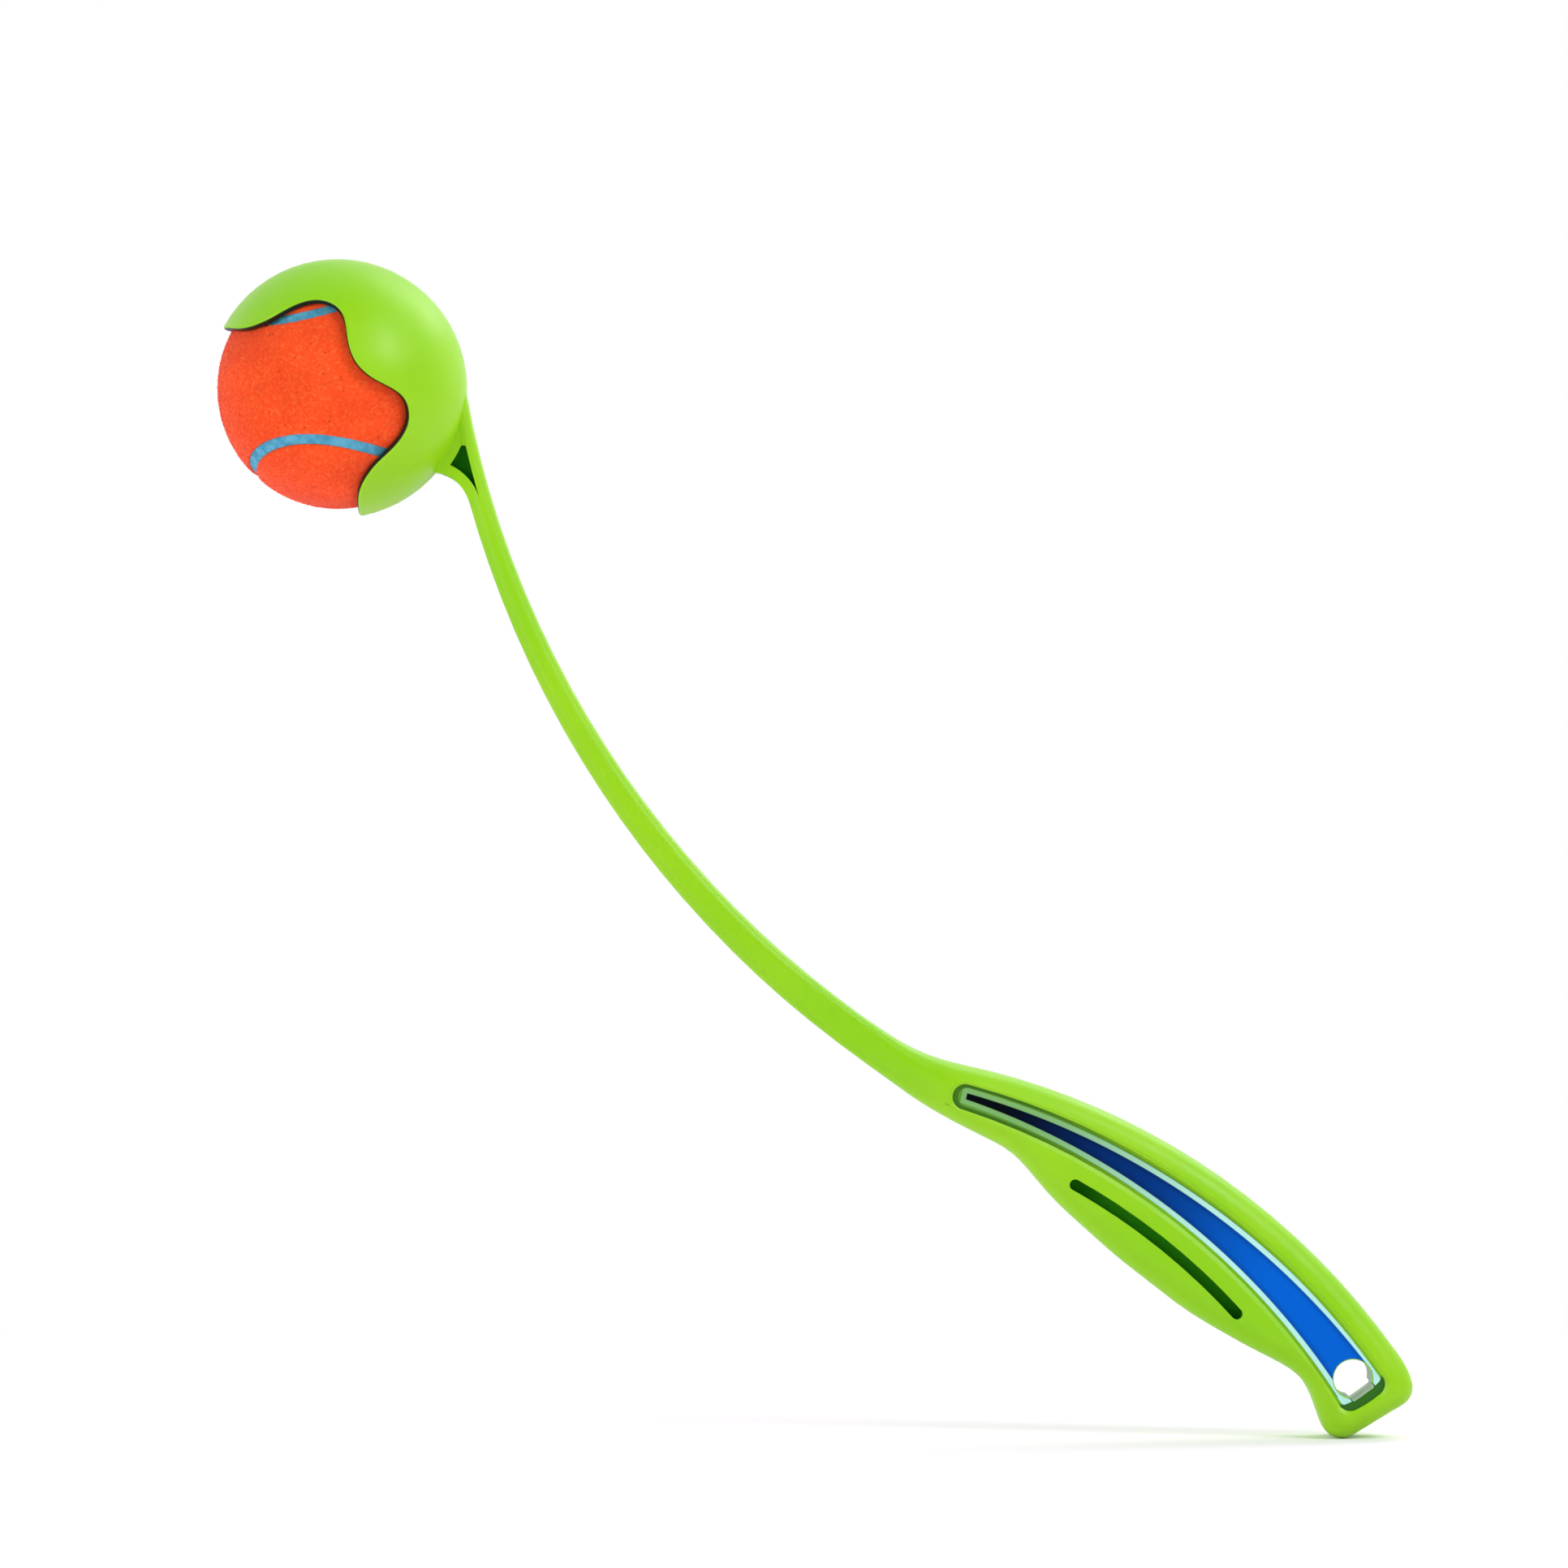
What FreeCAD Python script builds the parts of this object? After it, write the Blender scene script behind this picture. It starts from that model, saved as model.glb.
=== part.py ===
"""Dog ball launcher: a one-piece moulded wand with a snap-in cup, its two labels and a felt ball.

The side of the launcher lies in the XZ plane, with +Z up and Y through its width. The origin is the
centre of the hang hole. Lengths are millimetres. Angles are degrees, counted from +X towards +Z.
"""
import FreeCAD
import Part

import math
import os

# The ball: a rubber core of two bonded halves, two felt panels and the seam strip between them
BALL_DIAMETER = 66.0
FELT_THICKNESS = 3.5
CORE_WALL = 3.4
SEAM_WIDTH = 3.1
SEAM_INSET = 0.7
SEAM_WAIST = 33.8
SEAM_YAW = -24.0
SEAM_PITCH = -50.8
SEAM_ROLL = -93.9
SEAM_POINTS = 64

# The cup: a shell round the ball, with two long fingers and two short side lobes
CUP_CLEARANCE = 0.35
CUP_WALL = 2.3
CUP_PROUD = 0.8
RIM_ROUNDING = 0.8
MOUTH_ANGLE = 216.0

# A quarter of the rim, from the tip of a finger to the middle of a side lobe: the angle from the
# mouth's axis, and the angle round that axis
RIM_QUARTER = [
    (63.8, 0.0),
    (66.0, 20.0),
    (73.0, 37.5),
    (84.0, 45.5),
    (97.0, 48.0),
    (107.5, 52.5),
    (112.3, 62.5),
    (107.0, 78.5),
    (104.2, 90.0),
]

# The arm: a bar whose centreline is one arc, from the cup down to the handle
ARM_RADIUS = 276.8
ARM_SWEEP = 46.55
ARM_LEAN = 55.2
ARM_THICKNESS_AT_NECK = 6.0
ARM_THICKNESS_AT_HANDLE = 10.0
ARM_WIDTH_AT_CUP = 12.0
ARM_WIDTH_AT_HANDLE = 15.0
ARM_EDGE_RADIUS = 2.8
ARM_STATIONS = 8

# Where the arm's centreline ends: the angle about the handle's centre, and the rise above its back
ARM_END_ANGLE = 85.5
ARM_END_RISE = 1.9

# The neck: a gusset between the arm and the cup, with a pocket on each side of a middle web
NECK_LENGTH = 36.2
NECK_HOLLOW_RADIUS = 11.6
NECK_OUTER_WALL = 2.9
NECK_LOWER_WALL = 3.0
NECK_CUP_WALL = 2.1
NECK_WEB = 3.0
NECK_POCKET_DROP = 15.9

# The handle: its back is one arc, and its depth below that arc changes along the grip
HANDLE_RADIUS = 195.1
HANDLE_WIDTH = 24.0
HANDLE_EDGE_RADIUS = 6.5
BUTT_ROUNDING = 5.5
BUTT_BACK_DROP = 2.8

# The grip: the angle about the handle's centre, and the depth there below the back
GRIP_DEPTHS = [
    (78.4, 15.0),
    (75.0, 17.6),
    (72.0, 19.9),
    (70.0, 23.0),
    (68.0, 26.3),
    (66.0, 28.8),
    (63.0, 31.4),
    (59.0, 33.9),
    (55.0, 34.9),
    (51.0, 35.0),
    (46.7, 33.0),
    (42.5, 29.4),
    (40.0, 26.6),
    (38.0, 25.4),
    (36.0, 26.2),
    (33.8, 27.9),
    (31.2, 28.3),
]

# The hang hole, through the handle near its end: a round bore with a flat-ended notch on the side
# towards the butt, which reaches as far as the bore does
HOLE_DIAMETER = 10.6
HOLE_NOTCH_WIDTH = 7.2
HOLE_NOTCH_CORNER = 0.6
HOLE_ANGLE = 35.5
HOLE_DEPTH = 14.1

# The label recess on each side of the handle, with a lip that slopes in from the handle's side. Its
# edges are given as depths below the back
RECESS_DEPTH = 1.2
RECESS_LIP_WIDTH = 1.2
RECESS_LIP_DEPTH = 0.7
RECESS_FRONT_ANGLE = 78.4
RECESS_FRONT_DEPTH = 8.1
RECESS_FRONT_RADIUS = 3.5
RECESS_MIDDLE_ANGLE = 56.0
RECESS_MIDDLE_TOP = 6.7
RECESS_MIDDLE_BOTTOM = 17.3
RECESS_END_ANGLE = 33.3
RECESS_END_TOP = 7.0
RECESS_END_BOTTOM = 21.4
RECESS_END_BULGE = 0.8
RECESS_CORNER = 3.6

# The label in each recess
LABEL_SIDE_GAP = 0.8
LABEL_FRONT_GAP = 1.5
LABEL_END_GAP = 2.7
LABEL_CORNER = 1.0
LABEL_THICKNESS = 0.25
LABEL_HOLE_CLEARANCE = 0.3

# The grip groove on each side, below the recess
GROOVE_WIDTH = 3.1
GROOVE_DEPTH = 8.0
GROOVE_FRONT_ANGLE = 65.8
GROOVE_FRONT_DEPTH = 21.5
GROOVE_MIDDLE_ANGLE = 56.0
GROOVE_MIDDLE_DEPTH = 24.1
GROOVE_END_ANGLE = 46.8
GROOVE_END_DEPTH = 26.4


def vector(x, y, z):
    return FreeCAD.Vector(x, y, z)


def direction(degrees):
    """Unit vector in the side plane."""
    angle = math.radians(degrees)
    return vector(math.cos(angle), 0, math.sin(angle))


def polar(centre, radius, degrees):
    return centre + direction(degrees) * radius


# Places that follow from the sizes above
ORIGIN = vector(0, 0, 0)
ACROSS = vector(0, 1, 0)
HANDLE_CENTRE = direction(HOLE_ANGLE) * (HOLE_DEPTH - HANDLE_RADIUS)
ARM_END = polar(HANDLE_CENTRE, HANDLE_RADIUS + ARM_END_RISE, ARM_END_ANGLE)
ARM_CENTRE = polar(ARM_END, ARM_RADIUS, ARM_LEAN)
ARM_END_SIDE = ARM_LEAN + 180
ARM_CUP_SIDE = ARM_END_SIDE - ARM_SWEEP
NECK_END_SIDE = ARM_CUP_SIDE + math.degrees(NECK_LENGTH / ARM_RADIUS)
BALL_RADIUS = BALL_DIAMETER / 2
CORE_RADIUS = BALL_RADIUS - FELT_THICKNESS
CUP_INNER_RADIUS = BALL_RADIUS + CUP_CLEARANCE
CUP_OUTER_RADIUS = CUP_INNER_RADIUS + CUP_WALL
ARM_BACK_AT_CUP = ARM_RADIUS - ARM_THICKNESS_AT_NECK / 2
CUP_CENTRE = polar(ARM_CENTRE, ARM_BACK_AT_CUP + CUP_OUTER_RADIUS - CUP_PROUD, ARM_CUP_SIDE)
MOUTH_AXIS = direction(MOUTH_ANGLE)
FAR = 4 * HANDLE_WIDTH
CONE_REACH = 6 * CUP_OUTER_RADIUS

# The weight of the middle pole of a quarter of a circle
ARC_WEIGHT = math.sqrt(0.5)


def write(name, shape):
    """Check one piece and write it as its own file."""
    if not shape.isValid():
        raise RuntimeError(name + " is not a valid solid")
    shape.exportStep(os.path.join("parts", name + ".step"))
    print(name, "solids", len(shape.Solids), "volume", round(shape.Volume, 1))


def at_depth(degrees, depth):
    """Point in the side plane, at a depth below the handle's back."""
    return polar(HANDLE_CENTRE, HANDLE_RADIUS - depth, degrees)


def arc(start, middle, end):
    return Part.Arc(start, middle, end).toShape()


def line(start, end):
    return Part.LineSegment(start, end).toShape()


def prism(edges, low, high):
    """Solid from an outline in the side plane, between two distances along Y."""
    face = Part.Face(Part.Wire(edges))
    face.translate(ACROSS * low)
    return face.extrude(ACROSS * (high - low))


def cylinder(centre, radius, width):
    """Cylinder along Y, centred on the side plane."""
    return Part.makeCylinder(radius, width, centre - ACROSS * (width / 2), ACROSS)


def on_both_sides(shape):
    """A shape and its mirror image in the side plane."""
    return [shape, shape.mirror(ORIGIN, ACROSS)]


def directions_inside(centre, axis, unit_points):
    """Solid of the directions from a centre that lie inside a closed curve round an axis."""
    curve = Part.BSplineCurve()
    curve.interpolate(Points=[centre + point * CONE_REACH for point in unit_points], PeriodicFlag=True)
    start = Part.Vertex(centre)
    end = Part.Vertex(centre + axis * CONE_REACH)
    return Part.makeLoft([start, Part.Wire([curve.toShape()]), end], True, True)


def rounded_section(top, bottom, width, edge_radius):
    """The four corners of a rounded rectangle that stands between two points of the side plane.

    A corner is the start of its arc, the sharp corner it rounds off, and the end of its arc.
    """
    height = (top - bottom).Length
    up = (top - bottom) * (1 / height)
    centre = (top + bottom) * 0.5
    radius = min(edge_radius, 0.45 * height, 0.45 * width)
    corners = []
    for side_up, side_across in ((1, 1), (-1, 1), (-1, -1), (1, -1)):
        tall = up * side_up
        wide = ACROSS * side_across
        sharp = centre + tall * (height / 2) + wide * (width / 2)
        on_end = sharp - wide * radius
        on_side = sharp - tall * radius
        if side_up == side_across:
            corners.append((on_end, sharp, on_side))
        else:
            corners.append((on_side, sharp, on_end))
    return corners


def section_face(corners):
    """Flat face that fills one rounded rectangle."""
    edges = []
    for index, (start, sharp, end) in enumerate(corners):
        following = corners[(index + 1) % len(corners)]
        middle = (start + end + sharp * (2 * ARC_WEIGHT)) * (1 / (2 + 2 * ARC_WEIGHT))
        edges.append(arc(start, middle, end))
        edges.append(line(end, following[0]))
    return Part.Face(Part.Wire(edges))


def strip(columns, weights, stations):
    """Smooth face along the stick, through one column of poles for each pole across it."""
    curves = []
    for column in columns:
        curve = Part.BSplineCurve()
        curve.interpolate(Points=column, Parameters=stations)
        curves.append(curve)
    poles = [curve.getPoles() for curve in curves]
    across = len(columns)
    surface = Part.BSplineSurface()
    surface.buildFromPolesMultsKnots(
        poles,
        [across, across],
        curves[0].getMultiplicities(),
        [0, 1],
        curves[0].getKnots(),
        False,
        False,
        across - 1,
        curves[0].Degree,
        [[weight] * len(poles[0]) for weight in weights],
    )
    return surface.toShape()


def skin(sections):
    """Solid whose sides run smoothly through a row of rounded rectangles."""
    centres = [(corners[0][1] + corners[2][1]) * 0.5 for corners in sections]
    stations = [0]
    for before, after in zip(centres, centres[1:]):
        stations.append(stations[-1] + (after - before).Length)
    faces = [section_face(sections[0]), section_face(sections[-1])]
    for index in range(4):
        following = (index + 1) % 4
        corner = [[corners[index][place] for corners in sections] for place in range(3)]
        starts = [corners[index][2] for corners in sections]
        ends = [corners[following][0] for corners in sections]
        faces.append(strip(corner, [1, ARC_WEIGHT, 1], stations))
        faces.append(strip([starts, ends], [1, 1], stations))
    shell = Part.makeShell(faces)
    shell.sewShape()
    return Part.makeSolid(shell)


def blend(start, end, share):
    return start + (end - start) * share


def eased(start, start_slope, end, end_slope, share):
    """Point on a smooth curve between two points, with a given direction at each."""
    reach = (end - start).Length
    s = share
    point = start * (2 * s**3 - 3 * s**2 + 1) + end * (3 * s**2 - 2 * s**3)
    return point + start_slope * (reach * (s**3 - 2 * s**2 + s)) + end_slope * (reach * (s**3 - s**2))


def arm_sections():
    """Sections of the arm, from inside the cup's wall down to the arm's end."""
    sections = []
    for index in range(ARM_STATIONS):
        share = index / (ARM_STATIONS - 1)
        angle = blend(ARM_CUP_SIDE, ARM_END_SIDE, share)
        past_neck = max(0, (angle - NECK_END_SIDE) / (ARM_END_SIDE - NECK_END_SIDE))
        thickness = blend(ARM_THICKNESS_AT_NECK, ARM_THICKNESS_AT_HANDLE, past_neck)
        width = blend(ARM_WIDTH_AT_CUP, ARM_WIDTH_AT_HANDLE, share)
        top = polar(ARM_CENTRE, ARM_RADIUS - thickness / 2, angle)
        bottom = polar(ARM_CENTRE, ARM_RADIUS + thickness / 2, angle)
        sections.append(rounded_section(top, bottom, width, ARM_EDGE_RADIUS))
    return sections


def bridge_sections():
    """Sections between the arm's end and the handle's start, which swing from one to the other."""
    arm_slope = direction(ARM_LEAN - 90)
    arm_top = polar(ARM_END, ARM_THICKNESS_AT_HANDLE / 2, ARM_LEAN)
    arm_bottom = polar(ARM_END, -ARM_THICKNESS_AT_HANDLE / 2, ARM_LEAN)
    start_angle, start_depth = GRIP_DEPTHS[0]
    top = at_depth(start_angle, 0)
    bottom = at_depth(start_angle, start_depth)
    top_slope = direction(start_angle - 90)
    bottom_slope = (at_depth(*GRIP_DEPTHS[1]) - bottom).normalize()
    sections = []
    for share in (1 / 3, 2 / 3):
        section_top = eased(arm_top, arm_slope, top, top_slope, share)
        section_bottom = eased(arm_bottom, arm_slope, bottom, bottom_slope, share)
        width = blend(ARM_WIDTH_AT_HANDLE, HANDLE_WIDTH, share)
        edge_radius = blend(ARM_EDGE_RADIUS, HANDLE_EDGE_RADIUS, share)
        sections.append(rounded_section(section_top, section_bottom, width, edge_radius))
    return sections


def handle_sections():
    """Sections of the handle, square to its back, down to the butt."""
    sections = []
    butt_angle = GRIP_DEPTHS[-1][0]
    for angle, depth in GRIP_DEPTHS:
        drop = BUTT_BACK_DROP if angle == butt_angle else 0
        top = at_depth(angle, drop)
        bottom = at_depth(angle, depth)
        sections.append(rounded_section(top, bottom, HANDLE_WIDTH, HANDLE_EDGE_RADIUS))
    return sections


def stick():
    """The arm and the handle as one bar, with the butt's end rounded off."""
    bar = skin(arm_sections() + bridge_sections() + handle_sections())
    butt_angle = GRIP_DEPTHS[-1][0]
    butt_point = at_depth(butt_angle, 0)
    butt_normal = direction(butt_angle - 90)
    end_edges = []
    for face in bar.Faces:
        if abs((face.CenterOfMass - butt_point).dot(butt_normal)) < 0.01:
            end_edges = face.Edges
    return bar.makeFillet(BUTT_ROUNDING, end_edges)


def neck_hollow_centre():
    """Centre of the round hollow under the neck, which runs out into the arm's lower edge."""
    lower_edge = ARM_RADIUS + ARM_THICKNESS_AT_NECK / 2
    return polar(ARM_CENTRE, lower_edge + NECK_HOLLOW_RADIUS, NECK_END_SIDE)


def neck_outline():
    """The four sides of the space between the arm's centreline, the hollow and the cup."""
    corners = [
        polar(ARM_CENTRE, ARM_RADIUS, ARM_CUP_SIDE),
        polar(ARM_CENTRE, ARM_RADIUS, NECK_END_SIDE),
        neck_hollow_centre(),
        CUP_CENTRE,
    ]
    middle = polar(ARM_CENTRE, ARM_RADIUS, (ARM_CUP_SIDE + NECK_END_SIDE) / 2)
    edges = [arc(corners[0], middle, corners[1])]
    for index in (1, 2, 3):
        edges.append(line(corners[index], corners[(index + 1) % 4]))
    return edges


def gusset():
    """The neck's web at the arm's full width, with the hollow under it."""
    blank = prism(neck_outline(), -ARM_WIDTH_AT_CUP / 2, ARM_WIDTH_AT_CUP / 2)
    return blank.cut(cylinder(neck_hollow_centre(), NECK_HOLLOW_RADIUS, FAR))


def neck_pockets():
    """The pockets sunk into the gusset from both sides, down to the middle web."""
    blank = prism(neck_outline(), -ARM_WIDTH_AT_CUP, -NECK_WEB / 2)
    top = CUP_CENTRE.z - NECK_POCKET_DROP
    above = Part.makeBox(2 * FAR, FAR, FAR, vector(CUP_CENTRE.x - FAR, -FAR / 2, top))
    walls = [
        cylinder(ARM_CENTRE, ARM_BACK_AT_CUP + NECK_OUTER_WALL, FAR),
        cylinder(CUP_CENTRE, CUP_OUTER_RADIUS + NECK_CUP_WALL, FAR),
        cylinder(neck_hollow_centre(), NECK_HOLLOW_RADIUS + NECK_LOWER_WALL, FAR),
        above,
    ]
    return on_both_sides(blank.cut(walls))


def rim_directions():
    """Unit vectors from the cup's centre to its rim, all the way round."""
    quarter = RIM_QUARTER[:-1]
    back = [(tilt, 180 - turn) for tilt, turn in RIM_QUARTER[:0:-1]]
    half = quarter + back
    whole = half + [(tilt, turn + 180) for tilt, turn in half]
    upwards = direction(MOUTH_ANGLE - 90)
    points = []
    for tilt, turn in whole:
        tilt = math.radians(tilt)
        turn = math.radians(turn)
        outward = upwards * math.cos(turn) + ACROSS * math.sin(turn)
        points.append(MOUTH_AXIS * math.cos(tilt) + outward * math.sin(tilt))
    return points


def edges_at(face, radius):
    """The edges of a face that lie at one distance from the cup's centre."""
    edges = []
    for edge in face.Edges:
        middle = edge.valueAt((edge.FirstParameter + edge.LastParameter) / 2)
        if abs((middle - CUP_CENTRE).Length - radius) < 0.01:
            edges.append(edge)
    return edges


def cup():
    """The shell round the ball, cut open along its rim, with the rim rounded off."""
    whole = Part.makeSphere(CUP_OUTER_RADIUS, CUP_CENTRE, MOUTH_AXIS)
    space = Part.makeSphere(CUP_INNER_RADIUS, CUP_CENTRE, MOUTH_AXIS)
    mouth = directions_inside(CUP_CENTRE, MOUTH_AXIS, rim_directions())
    shell = whole.cut([space, mouth])
    rim = []
    for face in shell.Faces:
        if not isinstance(face.Surface, Part.Sphere):
            rim += edges_at(face, CUP_OUTER_RADIUS) + edges_at(face, CUP_INNER_RADIUS)
    return shell.makeFillet(min(RIM_ROUNDING, 0.4 * CUP_WALL), rim)


def along_arc(points, width):
    """Outline of a slot with round ends, whose centreline is the arc through three points."""
    circle = arc(*points).Curve
    outer = [polar_out(circle, point, width / 2) for point in points]
    inner = [polar_out(circle, point, -width / 2) for point in points]
    tips = []
    for end in (points[0], points[2]):
        along = (end - circle.Center).cross(ACROSS).normalize()
        away = 1 if along.dot(end - points[1]) > 0 else -1
        tips.append(end + along * (away * width / 2))
    return [
        arc(*outer),
        arc(outer[2], tips[1], inner[2]),
        arc(*inner[::-1]),
        arc(inner[0], tips[0], outer[0]),
    ]


def polar_out(circle, point, distance):
    """A point of a circle moved away from its centre."""
    return point + (point - circle.Center).normalize() * distance


def grooves():
    """The grip grooves, sunk into both sides of the handle."""
    points = [
        at_depth(GROOVE_FRONT_ANGLE, GROOVE_FRONT_DEPTH),
        at_depth(GROOVE_MIDDLE_ANGLE, GROOVE_MIDDLE_DEPTH),
        at_depth(GROOVE_END_ANGLE, GROOVE_END_DEPTH),
    ]
    floor = HANDLE_WIDTH / 2 - GROOVE_DEPTH
    return on_both_sides(prism(along_arc(points, GROOVE_WIDTH), -HANDLE_WIDTH, -floor))


def round_corners(block, points, radius):
    """Round off the upright edges of a prism that stand at some points of the side plane."""
    corners = []
    for edge in block.Edges:
        start, end = edge.Vertexes[0].Point, edge.Vertexes[-1].Point
        upright = abs(start.x - end.x) + abs(start.z - end.z) < 0.001
        near = min((start - point).cross(ACROSS).Length for point in points) < 0.001
        if upright and near:
            corners.append(edge)
    return block.makeFillet(radius, corners)


def hang_hole(clearance):
    """The space of the hang hole, with some clearance all round."""
    radius = HOLE_DIAMETER / 2 + clearance
    half_notch = HOLE_NOTCH_WIDTH / 2 + clearance
    aside = direction(HOLE_ANGLE) * half_notch
    to_butt = direction(HOLE_ANGLE - 90)
    shoulder = to_butt * math.sqrt(radius**2 - half_notch**2)
    end = to_butt * radius
    edges = [
        arc(shoulder + aside, end * -1, shoulder - aside),
        line(shoulder - aside, end - aside),
        line(end - aside, end + aside),
        line(end + aside, shoulder + aside),
    ]
    space = prism(edges, -FAR, FAR)
    return round_corners(space, (end + aside, end - aside), HOLE_NOTCH_CORNER)


def recess_block(side_gap, front_gap, end_gap, corner, low, high):
    """Solid with the recess's outline drawn in by its gaps, between two distances along Y."""
    front_radius = RECESS_FRONT_RADIUS - side_gap
    front_setback = front_radius + front_gap
    front_turn = math.degrees(front_setback / (HANDLE_RADIUS - RECESS_FRONT_DEPTH))
    front_angle = RECESS_FRONT_ANGLE - front_turn
    front = at_depth(front_angle, RECESS_FRONT_DEPTH)
    end_angle = RECESS_END_ANGLE + math.degrees(end_gap / HANDLE_RADIUS)
    end_top = at_depth(end_angle, RECESS_END_TOP + side_gap)
    end_bottom = at_depth(end_angle, RECESS_END_BOTTOM - side_gap)
    end_middle = (end_top + end_bottom) * 0.5 + direction(end_angle - 90) * RECESS_END_BULGE
    front_top = polar(front, front_radius, front_angle)
    front_bottom = polar(front, -front_radius, front_angle)
    front_tip = polar(front, front_radius, front_angle + 90)
    edges = [
        arc(front_top, at_depth(RECESS_MIDDLE_ANGLE, RECESS_MIDDLE_TOP + side_gap), end_top),
        arc(end_top, end_middle, end_bottom),
        arc(end_bottom, at_depth(RECESS_MIDDLE_ANGLE, RECESS_MIDDLE_BOTTOM - side_gap), front_bottom),
        arc(front_bottom, front_tip, front_top),
    ]
    return round_corners(prism(edges, low, high), (end_top, end_bottom), corner)


def outline_at(block, level):
    """Outline of a prism's flat end at one distance along Y."""
    for face in block.Faces:
        if abs(face.CenterOfMass.y - level) < 0.001:
            return face.OuterWire


def recess():
    """The recess at -Y, with the lip round it. The lip's slope runs on past the handle's side."""
    side = -HANDLE_WIDTH / 2
    outlines = []
    for grow, level in (
        (0, side + RECESS_LIP_DEPTH),
        (2 * RECESS_LIP_WIDTH, side - RECESS_LIP_DEPTH),
    ):
        block = recess_block(-grow, -grow, -grow, RECESS_CORNER + grow, level, level + HANDLE_WIDTH)
        outlines.append(outline_at(block, level))
    sink = recess_block(0, 0, 0, RECESS_CORNER, side - HANDLE_WIDTH, side + RECESS_DEPTH)
    return sink.fuse(Part.makeLoft(outlines, True, True))


def wand():
    """The one-piece moulding: cup, neck, arm and handle."""
    mid_wall = Part.makeSphere(CUP_INNER_RADIUS + CUP_WALL / 2, CUP_CENTRE, MOUTH_AXIS)
    bar = stick().fuse(gusset()).cut(mid_wall)
    cuts = [hang_hole(0)] + neck_pockets() + grooves() + on_both_sides(recess())
    return bar.fuse(cup()).cut(cuts)


def front_label():
    """The printed film on the floor of the recess at -Y, which ends in a fork round the hang hole."""
    floor = RECESS_DEPTH - HANDLE_WIDTH / 2
    gaps = (LABEL_SIDE_GAP, LABEL_FRONT_GAP, LABEL_END_GAP)
    film = recess_block(*gaps, LABEL_CORNER, floor - LABEL_THICKNESS, floor)
    return film.cut(hang_hole(LABEL_HOLE_CLEARANCE))


def seam_frame():
    """Where the ball's own axes point: its waist faces the launcher's front."""
    return FreeCAD.Rotation(SEAM_YAW, SEAM_PITCH, SEAM_ROLL)


def seam_directions(offset):
    """Unit vectors along the seam, moved sideways on the ball by an offset at its surface."""
    major = (BALL_RADIUS + SEAM_WAIST / 2) / 2
    minor = (BALL_RADIUS - SEAM_WAIST / 2) / 2
    height = 2 * math.sqrt(major * minor)
    turn = offset / BALL_RADIUS
    frame = seam_frame()
    points = []
    for index in range(SEAM_POINTS):
        t = 2 * math.pi * index / SEAM_POINTS
        point = vector(
            major * math.cos(t) + minor * math.cos(3 * t),
            major * math.sin(t) - minor * math.sin(3 * t),
            height * math.sin(2 * t),
        ).normalize()
        along = vector(
            -major * math.sin(t) - 3 * minor * math.sin(3 * t),
            major * math.cos(t) - 3 * minor * math.cos(3 * t),
            2 * height * math.cos(2 * t),
        ).normalize()
        sideways = point.cross(along)
        points.append(frame.multVec(point * math.cos(turn) + sideways * math.sin(turn)))
    return points


def ball_shell(outer_radius, inner_radius):
    """Hollow sphere whose poles lie on the felt, clear of the seam."""
    axis = seam_frame().multVec(vector(1, 1, 0))
    outer = Part.makeSphere(outer_radius, CUP_CENTRE, axis)
    return outer.cut(Part.makeSphere(inner_radius, CUP_CENTRE, axis))


def core_half(side):
    """One hemisphere of the hollow rubber core."""
    axis = seam_frame().multVec(vector(0, 0, side))
    outer = Part.makeSphere(CORE_RADIUS, CUP_CENTRE, axis, 0, 90, 360)
    return outer.cut(Part.makeSphere(CORE_RADIUS - CORE_WALL, CUP_CENTRE, axis))


def felt_sides():
    """For each felt panel, the solid of the directions from the ball's centre that it covers."""
    sides = []
    for side in (1, -1):
        axis = seam_frame().multVec(vector(0, 0, side))
        edge = seam_directions(side * SEAM_WIDTH / 2)
        sides.append(directions_inside(CUP_CENTRE, axis, edge))
    return sides


os.makedirs("parts", exist_ok=True)

write("launcher_wand", wand())

label = front_label()
write("label_front", label)
write("label_back", label.mirror(ORIGIN, ACROSS))

write("ball_core_half_a", core_half(1))
write("ball_core_half_b", core_half(-1))

side_a, side_b = felt_sides()
felt = ball_shell(BALL_RADIUS, CORE_RADIUS)
write("felt_panel_a", felt.common(side_a))
write("felt_panel_b", felt.common(side_b))
write("felt_seam", ball_shell(BALL_RADIUS - SEAM_INSET, CORE_RADIUS).cut([side_a, side_b]))
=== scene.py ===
# %% [markdown]
# # A dog ball launcher, dressed for its portrait
#
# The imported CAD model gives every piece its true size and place. This lesson gives the pieces their
# looks: moulded lime plastic, two printed labels, and a ball of orange felt with a blue seam. Lengths
# are metres, +Z is up, and the side of the launcher lies in the XZ plane, seen from -Y.

# %% Load the fixed frame
import math

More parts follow.
